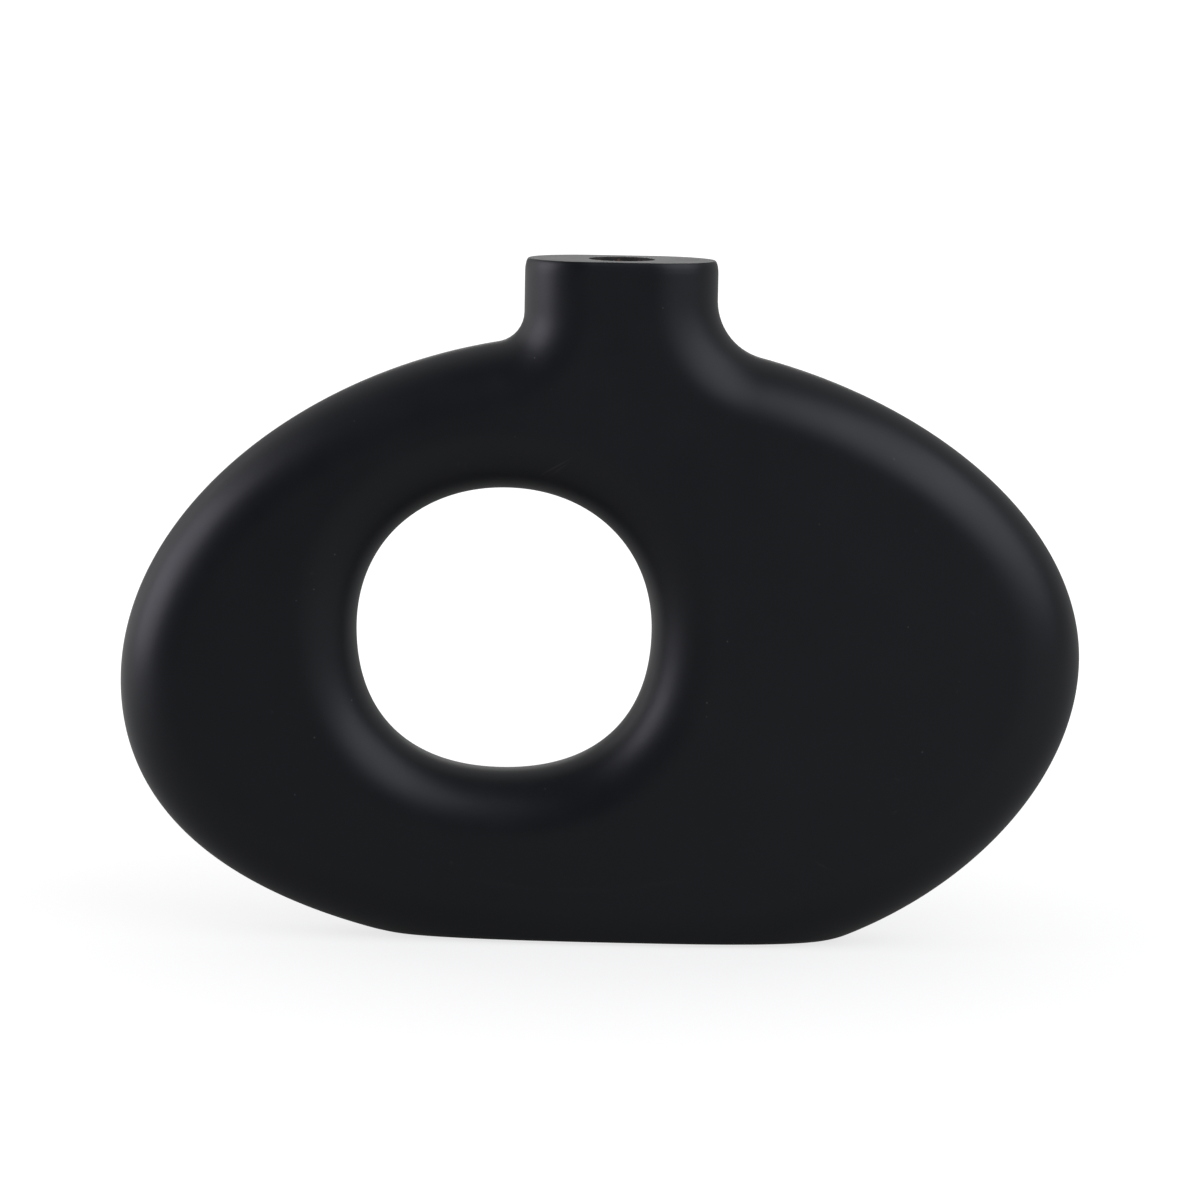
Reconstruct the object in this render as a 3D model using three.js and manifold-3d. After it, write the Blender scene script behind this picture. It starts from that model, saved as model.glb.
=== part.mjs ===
// Wooden vase: a flat pebble-shaped vessel with rounded edges, a wide opening through it
// and a short neck beside its middle. Two boards are glued face to face on dowels, and a
// groove in each makes the bore that holds a loose glass water tube. Felt pads carry it.
// Millimetres, +Z up, the front towards -Y. The origin lies on the surface that the vase
// stands on, under the middle of its width and thickness.

import * as THREE from 'three';
import { mergeVertices } from 'three/addons/utils/BufferGeometryUtils.js';
import Module from 'manifold-3d';

// Body, seen from the front. Heights are above the flat base.
const THICKNESS = 36; // both boards together
const LEFT_WEB = 73.7; // wood from the left limb's end to the opening
const OPENING_WIDTH = 92.3;
const RIGHT_WEB = 134; // wood from the opening to the right limb's end
const BOTTOM_WEB = 52.5; // wood from the base to the opening
const OPENING_HEIGHT = 88.7;
const TOP_WEB = 48.2; // wood from the opening to the crown, the top of the shoulder curve
const LEFT_LIMB_HEIGHT = 79; // where the left limb reaches furthest
const RIGHT_LIMB_HEIGHT = 89.5;
const CROWN_SHIFT = -3.2; // crown from the middle of the width, hidden in the neck
const KEEL_SHIFT = 27.4; // lowest point of the body curve, cut away by the base
const KEEL_DROP = 9.2; // how far below the base the body curve would have run

// How full each quarter of an outline is: 0.55 is an ellipse, more is squarer.
const UPPER_LEFT_FULLNESS = 0.524;
const UPPER_RIGHT_FULLNESS = 0.53;
const LOWER_LEFT_FULLNESS = 0.648;
const LOWER_RIGHT_FULLNESS = 0.513;
const UPPER_OPENING_FULLNESS = 0.585;
const LOWER_OPENING_FULLNESS = 0.635;

// Neck and the hollows of the body's edge.
const NECK_WIDTH = 60;
const NECK_SHIFT = 4.6; // neck and bore axis from the middle of the width
const NECK_RISE = 23.6; // neck top above the crown
const LEFT_FILLET = 9.5; // hollow between the neck's side and the shoulder
const RIGHT_FILLET = 18.5;
const EDGE_ROUNDING = 20; // how far the rounding reaches in from the outer edge
const OPENING_ROUNDING = 18; // and from the opening's edge
const SEAM_LAND = 1; // flat band along the glue line, between the two roundings

// Bore and glass tube.
const BORE_DIAMETER = 20;
const BORE_FLOOR = 12; // wood between the bore's end and the height of the opening's top
const TUBE_CLEARANCE = 1; // around the tube
const TUBE_SEAT_GAP = 0.3; // under the tube
const TUBE_WALL = 1.2;
const TUBE_DROP = 3; // the tube's rim below the neck's top

// Dowels that line the boards up.
const DOWEL_DIAMETER = 8;
const DOWEL_LENGTH = 22;
const DOWEL_CHAMFER = 1;
const DOWEL_INSET = 38; // from a limb's end, and from the crown, to a dowel's axis
const LOWER_DOWEL_HEIGHT = 18;
const GLUE_ROOM = 0.3; // around a dowel and beyond each of its ends

// Felt pads under the base.
const PAD_DIAMETER = 7;
const PAD_THICKNESS = 1;
const PAD_INSET = 44; // from the ends of the flat base to a pad's middle
const PAD_SPACING = 9; // between a front pad and the back pad behind it

// Facets, and the length by which a cutting shape runs past what it cuts.
const QUARTER_STEPS = 24;
const OPENING_STEPS = 14; // in each quarter
const FILLET_STEPS = 8;
const ROUNDING_STEPS = 6;
const ROUND_SIDES = 28;
const SMALL_ROUND_SIDES = 20;
const BEND_STEPS = 7; // over a quarter of the tube's round end
const RIM_STEPS = 6; // over the tube's rounded rim
const OVERRUN = 5;

const width = LEFT_WEB + OPENING_WIDTH + RIGHT_WEB;
const crownHeight = BOTTOM_WEB + OPENING_HEIGHT + TOP_WEB;
const neckTop = crownHeight + NECK_RISE;
const neckLeft = NECK_SHIFT - NECK_WIDTH / 2;
const neckRight = NECK_SHIFT + NECK_WIDTH / 2;
const openingX = -width / 2 + LEFT_WEB + OPENING_WIDTH / 2;
const openingMiddle = BOTTOM_WEB + OPENING_HEIGHT / 2;
const openingTop = BOTTOM_WEB + OPENING_HEIGHT;

const wasm = await Module();
wasm.setup();

// A closed geometry as a solid that can be joined and cut.
function solidOf(geometry) {
  const bare = geometry.clone();
  bare.deleteAttribute('normal');
  bare.deleteAttribute('uv');
  const merged = mergeVertices(bare);
  const corners = merged.index.array;
  const triangles = [];
  for (let i = 0; i < corners.length; i += 3) {
    const [a, b, c] = corners.subarray(i, i + 3);
    if (a !== b && b !== c && c !== a) triangles.push(a, b, c);
  }
  return new wasm.Manifold(new wasm.Mesh({
    numProp: 3,
    vertProperties: new Float32Array(merged.attributes.position.array),
    triVerts: new Uint32Array(triangles),
  }));
}

function geometryOf(solid) {
  const mesh = solid.getMesh();
  const geometry = new THREE.BufferGeometry();
  geometry.setAttribute('position', new THREE.BufferAttribute(mesh.vertProperties, 3));
  geometry.setIndex(new THREE.BufferAttribute(mesh.triVerts, 1));
  geometry.computeVertexNormals();
  return geometry;
}

// One quarter of an outline, from its end at the side to its top or bottom.
function quarter(side, peak, fullness) {
  return new THREE.CubicBezierCurve(
    side,
    new THREE.Vector2(side.x, side.y + fullness * (peak.y - side.y)),
    new THREE.Vector2(peak.x + fullness * (side.x - peak.x), peak.y),
    peak,
  );
}

// Points along a curve from one place on it to another.
function pointsAlong(curve, from, to, steps) {
  return Array.from({ length: steps + 1 }, (_, i) => curve.getPoint(from + ((to - from) * i) / steps));
}

// The place on a curve where a rising measure of it reaches zero, found by halving.
function placeWhere(measure) {
  const halvings = 40;
  let low = 0;
  let high = 1;
  for (let i = 0; i < halvings; i += 1) {
    const middle = (low + high) / 2;
    if (measure(middle) < 0) low = middle;
    else high = middle;
  }
  return (low + high) / 2;
}

// The body curve's four quarters.
const leftEnd = new THREE.Vector2(-width / 2, LEFT_LIMB_HEIGHT);
const rightEnd = new THREE.Vector2(width / 2, RIGHT_LIMB_HEIGHT);
const crown = new THREE.Vector2(CROWN_SHIFT, crownHeight);
const keel = new THREE.Vector2(KEEL_SHIFT, -KEEL_DROP);
const upperLeft = quarter(leftEnd, crown, UPPER_LEFT_FULLNESS);
const upperRight = quarter(rightEnd, crown, UPPER_RIGHT_FULLNESS);
const lowerLeft = quarter(leftEnd, keel, LOWER_LEFT_FULLNESS);
const lowerRight = quarter(rightEnd, keel, LOWER_RIGHT_FULLNESS);

// The arc that touches a shoulder and the neck's side: where it leaves the shoulder, and its points.
// The side is -1 on the left of the neck and 1 on its right.
function neckFillet(shoulder, neckSide, radius, side) {
  const centreAt = (place) => {
    const tangent = shoulder.getTangent(place);
    const outward = new THREE.Vector2(side * Math.abs(tangent.y), Math.abs(tangent.x));
    return shoulder.getPoint(place).addScaledVector(outward, radius);
  };
  const place = placeWhere((at) => side * (neckSide + side * radius - centreAt(at).x));
  const centre = centreAt(place);
  const foot = shoulder.getPoint(place).sub(centre);
  const arc = new THREE.EllipseCurve(
    centre.x, centre.y, radius, radius,
    Math.atan2(foot.y, foot.x), side < 0 ? 0 : -Math.PI, side > 0,
  );
  return { place, points: pointsAlong(arc, 0, 1, FILLET_STEPS) };
}

// The whole outline, clockwise from the left limb's end. It runs past the neck's top and the base,
// which are cut off square afterwards.
function bodyOutline() {
  const left = neckFillet(upperLeft, neckLeft, LEFT_FILLET, -1);
  const right = neckFillet(upperRight, neckRight, RIGHT_FILLET, 1);
  const neckEnd = neckTop + EDGE_ROUNDING + OVERRUN;
  return new THREE.Shape([
    ...pointsAlong(upperLeft, 0, left.place, QUARTER_STEPS).slice(0, -1),
    ...left.points,
    new THREE.Vector2(neckLeft, neckEnd),
    new THREE.Vector2(neckRight, neckEnd),
    ...right.points.reverse(),
    ...pointsAlong(upperRight, right.place, 0, QUARTER_STEPS).slice(1, -1),
    ...pointsAlong(lowerRight, 0, 1, QUARTER_STEPS).slice(0, -1),
    ...pointsAlong(lowerLeft, 1, 0, QUARTER_STEPS).slice(0, -1),
  ]);
}

// The opening's outline, from four quarters.
function openingOutline() {
  const quarters = [[1, 1], [-1, 1], [-1, -1], [1, -1]].map(([across, up]) => quarter(
    new THREE.Vector2(openingX + (across * OPENING_WIDTH) / 2, openingMiddle),
    new THREE.Vector2(openingX, openingMiddle + (up * OPENING_HEIGHT) / 2),
    up > 0 ? UPPER_OPENING_FULLNESS : LOWER_OPENING_FULLNESS,
  ));
  const points = quarters.flatMap((curve, i) => {
    const outward = i % 2 === 0;
    return pointsAlong(curve, outward ? 0 : 1, outward ? 1 : 0, OPENING_STEPS).slice(0, -1);
  });
  return new THREE.Path(points);
}

// An outline as a slab as thick as the vase, its edges rounded from the glue line to both faces.
function roundedSlab(outline, rounding) {
  const slab = new THREE.ExtrudeGeometry(outline, {
    depth: SEAM_LAND,
    bevelThickness: (THICKNESS - SEAM_LAND) / 2,
    bevelSize: rounding,
    bevelOffset: -rounding,
    bevelSegments: ROUNDING_STEPS,
  });
  slab.translate(0, 0, -SEAM_LAND / 2);
  slab.rotateX(Math.PI / 2);
  return solidOf(slab);
}

// A plate with the rounded opening in it, wide enough for its own edge to stay outside the body.
function platePierced() {
  const reach = width / 2 + OPENING_ROUNDING + OVERRUN;
  const bottom = -KEEL_DROP - OPENING_ROUNDING - OVERRUN;
  const top = neckTop + OPENING_ROUNDING + OVERRUN;
  const plate = new THREE.Shape([
    new THREE.Vector2(-reach, bottom),
    new THREE.Vector2(reach, bottom),
    new THREE.Vector2(reach, top),
    new THREE.Vector2(-reach, top),
  ]);
  plate.holes.push(openingOutline());
  return roundedSlab(plate, OPENING_ROUNDING);
}

// A turned shape, from a profile that starts and ends on the axis at the bottom.
function turned(profile, sides) {
  return new THREE.LatheGeometry(profile, sides).rotateX(Math.PI / 2);
}

// A quarter of a round end, from the axis out to the wall, with its middle at the given height.
function roundEnd(radius, middle) {
  const bend = new THREE.EllipseCurve(0, middle, radius, radius, -Math.PI / 2, 0);
  const points = pointsAlong(bend, 0, 1, BEND_STEPS);
  points[0].x = 0;
  return points;
}

// The bore, with its round lower end above the opening.
const boreRadius = BORE_DIAMETER / 2;
const boreBottom = openingTop + BORE_FLOOR;

function boreShape() {
  const end = neckTop + OVERRUN;
  return turned([
    ...roundEnd(boreRadius, boreBottom + boreRadius),
    new THREE.Vector2(boreRadius, end),
    new THREE.Vector2(0, end),
  ], ROUND_SIDES).translate(NECK_SHIFT, 0, 0);
}

// The glass tube: a round-bottomed wall with a rounded rim, standing on the bore's end.
function tubeShape() {
  const outer = boreRadius - TUBE_CLEARANCE;
  const inner = outer - TUBE_WALL;
  const middle = boreBottom + TUBE_SEAT_GAP + outer;
  const rim = new THREE.EllipseCurve(
    (outer + inner) / 2, neckTop - TUBE_DROP - TUBE_WALL / 2, TUBE_WALL / 2, TUBE_WALL / 2, 0, Math.PI,
  );
  return turned([
    ...roundEnd(outer, middle),
    ...pointsAlong(rim, 0, 1, RIM_STEPS),
    ...roundEnd(inner, middle).reverse(),
  ], ROUND_SIDES);
}

// A dowel across the glue line, or the hole for one where room is given around it.
function dowelShape(room) {
  const radius = DOWEL_DIAMETER / 2 + room;
  const half = DOWEL_LENGTH / 2 + room;
  const profile = [
    new THREE.Vector2(0, -half),
    new THREE.Vector2(radius - DOWEL_CHAMFER, -half),
    new THREE.Vector2(radius, DOWEL_CHAMFER - half),
    new THREE.Vector2(radius, half - DOWEL_CHAMFER),
    new THREE.Vector2(radius - DOWEL_CHAMFER, half),
    new THREE.Vector2(0, half),
  ];
  return new THREE.LatheGeometry(profile, SMALL_ROUND_SIDES);
}

const dowelPlaces = {
  left: new THREE.Vector3(-width / 2 + DOWEL_INSET, 0, LEFT_LIMB_HEIGHT),
  right: new THREE.Vector3(width / 2 - DOWEL_INSET, 0, RIGHT_LIMB_HEIGHT),
  lower: new THREE.Vector3(openingX, 0, LOWER_DOWEL_HEIGHT),
  upper: new THREE.Vector3(neckRight, 0, crownHeight - DOWEL_INSET),
};

// The two boards, as the rounded body cut along the glue line and hollowed for what they hold.
function boards() {
  const hollows = [
    solidOf(boreShape()),
    ...Object.values(dowelPlaces).map((place) => (
      solidOf(dowelShape(GLUE_ROOM).translate(place.x, place.y, place.z)))),
  ];
  const body = hollows.reduce(
    (left, hollow) => left.subtract(hollow),
    roundedSlab(bodyOutline(), EDGE_ROUNDING).intersect(platePierced()),
  );
  const side = (direction) => {
    const room = new THREE.BoxGeometry(width + OVERRUN, THICKNESS, neckTop);
    room.translate(0, (direction * THICKNESS) / 2, neckTop / 2);
    return geometryOf(body.intersect(solidOf(room)));
  };
  return { front: side(-1), back: side(1) };
}

// The ends of the flat base, where the body curve passes through its height.
const baseLeft = lowerLeft.getPoint(placeWhere((at) => -lowerLeft.getPoint(at).y)).x;
const baseRight = lowerRight.getPoint(placeWhere((at) => -lowerRight.getPoint(at).y)).x;

const blackLacquer = { color: 0x1d1e20, roughness: 0.55, metalness: 0 };
const clearGlass = { color: 0xe8efee, roughness: 0.03, metalness: 0, transparent: true, opacity: 0.35 };
const beech = { color: 0xc9a47a, roughness: 0.7, metalness: 0 };
const blackFelt = { color: 0x17171a, roughness: 1, metalness: 0 };

// The origin is on the surface below the pads, and every height above is from the base.
const vase = new THREE.Group();
vase.position.z = PAD_THICKNESS;

function addPiece(name, geometry, finish, position = new THREE.Vector3()) {
  const mesh = new THREE.Mesh(geometry, new THREE.MeshStandardMaterial(finish));
  mesh.name = name;
  mesh.position.copy(position);
  vase.add(mesh);
}

const { front, back } = boards();
addPiece('front_half', front, blackLacquer);
addPiece('back_half', back, blackLacquer);
addPiece('glass_tube', geometryOf(solidOf(tubeShape())), clearGlass, new THREE.Vector3(NECK_SHIFT, 0, 0));
for (const [name, position] of Object.entries(dowelPlaces)) {
  addPiece(`dowel_${name}`, geometryOf(solidOf(dowelShape(0))), beech, position);
}
for (const [depthName, direction] of [['front', -1], ['back', 1]]) {
  for (const [endName, x] of [['left', baseLeft + PAD_INSET], ['right', baseRight - PAD_INSET]]) {
    const pad = new THREE.CylinderGeometry(
      PAD_DIAMETER / 2, PAD_DIAMETER / 2, PAD_THICKNESS, SMALL_ROUND_SIDES,
    ).rotateX(Math.PI / 2);
    const middle = new THREE.Vector3(x, (direction * PAD_SPACING) / 2, -PAD_THICKNESS / 2);
    addPiece(`felt_pad_${depthName}_${endName}`, pad, blackFelt, middle);
  }
}

export default vase;
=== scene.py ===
"""Looks of a flat black wooden vase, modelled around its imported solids.

Two boards with rounded edges make the body, with a wide opening through it and a bored neck.
A glass water tube stands in the bore, four dowels line the boards up, and four felt pads carry
the vase. Lengths are in metres, +X to the right, +Y to the back and +Z up.
"""

import logging
import math
from collections.abc import Callable
from dataclasses import dataclass
from enum import Enum

import bmesh
import bpy
from mathutils import Matrix, Vector, noise


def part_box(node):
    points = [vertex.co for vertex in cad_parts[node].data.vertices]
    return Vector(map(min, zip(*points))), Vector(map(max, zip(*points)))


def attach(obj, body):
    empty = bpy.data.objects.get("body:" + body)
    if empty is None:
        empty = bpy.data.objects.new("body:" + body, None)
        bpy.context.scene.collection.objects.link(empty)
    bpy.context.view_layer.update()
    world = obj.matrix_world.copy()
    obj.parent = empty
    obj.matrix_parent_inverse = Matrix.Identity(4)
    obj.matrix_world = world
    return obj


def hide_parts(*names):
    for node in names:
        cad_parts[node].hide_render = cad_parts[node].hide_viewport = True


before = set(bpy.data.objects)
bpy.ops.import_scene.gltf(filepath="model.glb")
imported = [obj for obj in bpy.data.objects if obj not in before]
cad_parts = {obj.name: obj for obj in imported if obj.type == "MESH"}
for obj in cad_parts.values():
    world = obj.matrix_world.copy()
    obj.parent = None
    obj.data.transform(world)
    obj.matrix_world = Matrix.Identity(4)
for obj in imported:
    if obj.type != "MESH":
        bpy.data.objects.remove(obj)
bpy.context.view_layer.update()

log = logging.getLogger("vase")

MM = 0.001
MICRON = 0.000001
MERGE_DISTANCE = 0.001 * MM
WHITE = (1.0, 1.0, 1.0)

Colour = tuple[float, float, float]
Triple = tuple[float, float, float]
Span = tuple[float, float]
Socket = bpy.types.NodeSocket
Mesh = bmesh.types.BMesh


class Body(Enum):
    """The bodies that pieces ride on."""

    VASE = "vase"
    TUBE = "tube"


class Slot(Enum):
    """The record's finishes."""

    LACQUER = "black_lacquered_wood"
    GLASS = "clear_glass"
    BEECH = "beech"
    FELT = "black_felt"


class Board(Enum):
    """The two boards of the body, each with its side of the glue line along Y."""

    FRONT = -1
    BACK = 1

    @property
    def node(self) -> str:
        """The name of this board's solid."""
        return f"{self.name.lower()}_half"


class DowelPlace(Enum):
    """Where the dowels cross the glue line, by the names of their solids."""

    LEFT = "dowel_left"
    RIGHT = "dowel_right"
    LOWER = "dowel_lower"
    UPPER = "dowel_upper"


class PadPlace(Enum):
    """Where the felt pads stick under the base, by the names of their solids."""

    FRONT_LEFT = "felt_pad_front_left"
    FRONT_RIGHT = "felt_pad_front_right"
    BACK_LEFT = "felt_pad_back_left"
    BACK_RIGHT = "felt_pad_back_right"


class NodeSheet:
    """A node tree with short ways to add nodes and join them."""

    def __init__(self, tree: bpy.types.NodeTree) -> None:
        """Keep the tree that the nodes go into."""
        self.tree = tree

    def fill(self, socket: Socket, value: object) -> None:
        """Give an input a value, or join another node's output to it.

        Args:
            socket: The input.
            value: A plain value, or the output to join.
        """
        if isinstance(value, Socket):
            self.tree.links.new(value, socket)
        elif isinstance(value, tuple) and len(socket.default_value) > len(value):
            socket.default_value = (*value, 1.0)
        else:
            socket.default_value = value

    def join(self, node: bpy.types.Node, **inputs: object) -> None:
        """Fill a node's inputs by name, with underscores for spaces."""
        for name, value in inputs.items():
            self.fill(node.inputs[name.replace("_", " ")], value)

    def add(
        self, kind: str, settings: dict[str, object] | None = None, *values: object, **inputs: object
    ) -> bpy.types.Node:
        """Add a node and fill its inputs.

        Args:
            kind: The node's type, without the leading ShaderNode.
            settings: Values for the node's own properties.
            values: A value or an output for each of its inputs, in their order.
            inputs: A value or an output for each named input, as in join.

        Returns:
            The new node.
        """
        node = self.tree.nodes.new(f"ShaderNode{kind}")
        for name, value in (settings or {}).items():
            setattr(node, name, value)
        for socket, value in zip(node.inputs, values):
            self.fill(socket, value)
        self.join(node, **inputs)
        return node

    def maths(self, operation: str, first: object, second: object) -> Socket:
        """Work a Math node's operation out on two numbers or sockets."""
        return self.add("Math", {"operation": operation}, first, second).outputs[0]

    def remap(self, value: Socket, span: tuple[object, object], onto: tuple[object, object]) -> Socket:
        """Stretch a span of values onto another, without leaving it."""
        ends = dict(zip(("From_Min", "From_Max", "To_Min", "To_Max"), span + onto))
        return self.add("MapRange", Value=value, **ends).outputs[0]

    def relief(self, height: Socket, depth: float) -> Socket:
        """Turn a pattern from 0 to 1 into a bumpy normal of a real depth."""
        return self.add("Bump", Strength=1.0, Distance=depth, Height=height).outputs[0]

    def blend(self, share: object, first: object, second: object) -> Socket:
        """Mix two colours.

        Args:
            share: How much of the second colour shows, a number or a socket.
            first: A colour or a socket.
            second: A colour or a socket.

        Returns:
            The mixed colour.
        """
        node = self.add("Mix", {"data_type": "RGBA"})
        sockets = {socket.identifier: socket for socket in (*node.inputs, *node.outputs)}
        for name, value in (("Factor_Float", share), ("A_Color", first), ("B_Color", second)):
            self.fill(sockets[name], value)
        return sockets["Result_Color"]

    def white_to_view(self, gloss_share: Socket) -> Socket:
        """Find how much of the white background a ray sees.

        Args:
            gloss_share: What glossy rays see of it.

        Returns:
            1 for camera and transmission rays, the share for glossy rays and 0 for the rest.
        """
        rays = self.add("LightPath").outputs
        seen = self.maths("MAXIMUM", rays["Is Camera Ray"], rays["Is Transmission Ray"])
        mirrored = self.maths("MULTIPLY", rays["Is Glossy Ray"], gloss_share)
        return self.maths("MAXIMUM", seen, mirrored)


class EffectSheet(NodeSheet):
    """The nodes of a shared effect, with what the effect is given."""

    def __init__(self, tree: bpy.types.NodeTree) -> None:
        """Add the node that gives the effect its values."""
        super().__init__(tree)
        self.given = tree.nodes.new("NodeGroupInput").outputs


class Effect:
    """A pattern that several finishes share, as a node group that is built once."""

    name = "effect"
    numbers: tuple[str, ...] = ()
    output = "Value"

    def tree(self) -> bpy.types.NodeTree:
        """Find the group, or build it the first time.

        Returns:
            The node group.
        """
        known = bpy.data.node_groups.get(self.name)
        if known:
            return known
        tree = bpy.data.node_groups.new(self.name, "ShaderNodeTree")
        tree.interface.new_socket("Vector", in_out="INPUT", socket_type="NodeSocketVector")
        for number in self.numbers:
            tree.interface.new_socket(number, in_out="INPUT", socket_type="NodeSocketFloat")
        tree.interface.new_socket(self.output, in_out="OUTPUT", socket_type="NodeSocketFloat")
        pattern = self.draw(EffectSheet(tree))
        tree.links.new(pattern, tree.nodes.new("NodeGroupOutput").inputs[0])
        return tree

    def draw(self, sheet: EffectSheet) -> Socket:
        """Draw the pattern and give its output."""
        raise NotImplementedError


class CloudyMottle(Effect):
    """Soft clouds around one half, as on a sprayed or dyed surface."""

    name = "cloudy_mottle"
    numbers = ("Scale", "Contrast")
    detail = 4.0
    breakup = 0.6
    middle = 0.5

    def draw(self, sheet: EffectSheet) -> Socket:
        """Draw the clouds.

        Args:
            sheet: The effect's nodes.

        Returns:
            A value around one half.
        """
        given = sheet.given
        clouds = sheet.add(
            "TexNoise", Vector=given["Vector"], Scale=given["Scale"],
            Detail=self.detail, Roughness=self.breakup,
        )
        centred = sheet.maths("SUBTRACT", clouds.outputs[0], self.middle)
        return sheet.maths("ADD", sheet.maths("MULTIPLY", centred, given["Contrast"]), self.middle)


class WoodFibres(Effect):
    """Long fibres along X, from early to late wood."""

    name = "wood_fibres"
    numbers = ("Scale", "Waviness")
    slimness = (0.05, 1.0, 1.0)
    detail = 5.0
    breakup = 0.65

    def draw(self, sheet: EffectSheet) -> Socket:
        """Draw the fibres.

        Args:
            sheet: The effect's nodes.

        Returns:
            A value from 0 to 1 across the fibres.
        """
        given = sheet.given
        along = sheet.add("Mapping", Vector=given["Vector"], Scale=self.slimness).outputs[0]
        return sheet.add(
            "TexNoise", Vector=along, Scale=given["Scale"], Detail=self.detail,
            Roughness=self.breakup, Distortion=given["Waviness"],
        ).outputs[0]


class Specks(Effect):
    """Sparse round specks: dust on lacquer, lint on felt, bare spots in a sprayed bore."""

    name = "specks"
    numbers = ("Scale", "Size", "Share")
    output = "Mask"
    hard_core = 0.6

    def draw(self, sheet: EffectSheet) -> Socket:
        """Draw the specks.

        Args:
            sheet: The effect's nodes.

        Returns:
            A mask that is 1 on a speck.
        """
        given = sheet.given
        cells = sheet.add("TexVoronoi", Vector=given["Vector"], Scale=given["Scale"]).outputs
        core = sheet.maths("MULTIPLY", given["Size"], self.hard_core)
        dot = sheet.remap(cells["Distance"], (core, given["Size"]), (1.0, 0.0))
        lot = sheet.add("SeparateColor", Color=cells["Color"]).outputs[0]
        drawn = sheet.maths("LESS_THAN", lot, given["Share"])
        return sheet.maths("MULTIPLY", dot, drawn)


class MaterialSheet(NodeSheet):
    """The nodes of a material, with its shader and the place on the piece."""

    def __init__(self, tree: bpy.types.NodeTree) -> None:
        """Find the shader, and add the place as Object coordinates.

        Args:
            tree: The material's node tree.
        """
        super().__init__(tree)
        self.shader = tree.nodes["Principled BSDF"]
        self.place = self.add("TexCoord").outputs["Object"]

    def effect(self, effect: Effect, **inputs: object) -> Socket:
        """Lay a shared effect over the piece, or along a Vector that is given."""
        inputs = {"Vector": self.place, **inputs}
        return self.add("Group", {"node_tree": effect.tree()}, **inputs).outputs[0]


class Finish:
    """What the finishes have in common: a named material around one shader."""

    name = "finish"

    def material(self) -> bpy.types.Material:
        """Find the material, or build it the first time.

        Returns:
            The material.
        """
        known = bpy.data.materials.get(self.name)
        if known:
            return known
        material = bpy.data.materials.new(self.name)
        material.use_nodes = True
        self.dress(MaterialSheet(material.node_tree))
        return material

    def dress(self, sheet: MaterialSheet) -> None:
        """Join the finish's patterns to its shader."""
        raise NotImplementedError


@dataclass(frozen=True)
class Hairline:
    """A straight fine mark on the front face that fades to its ends.

    The tilt is in degrees, up to the right.
    """

    across: float
    height: float
    length: float
    tilt: float
    strength: float
    width: float = 0.8 * MM
    depth: float = 12.0 * MM

    def draw(self, sheet: MaterialSheet, front: float) -> Socket:
        """Draw the mark.

        Args:
            sheet: The material's nodes.
            front: Where the front face lies along Y.

        Returns:
            A mask as strong as the mark in its middle.
        """
        spot = sheet.add(
            "Mapping", {"vector_type": "TEXTURE"}, Vector=sheet.place,
            Location=(self.across, front, self.height),
            Rotation=(0.0, -math.radians(self.tilt), 0.0),
            Scale=(self.length / 2, self.depth, self.width / 2),
        )
        soft = sheet.add("TexGradient", {"gradient_type": "SPHERICAL"}, Vector=spot.outputs[0])
        return sheet.maths("MULTIPLY", soft.outputs["Fac"], self.strength)


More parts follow.
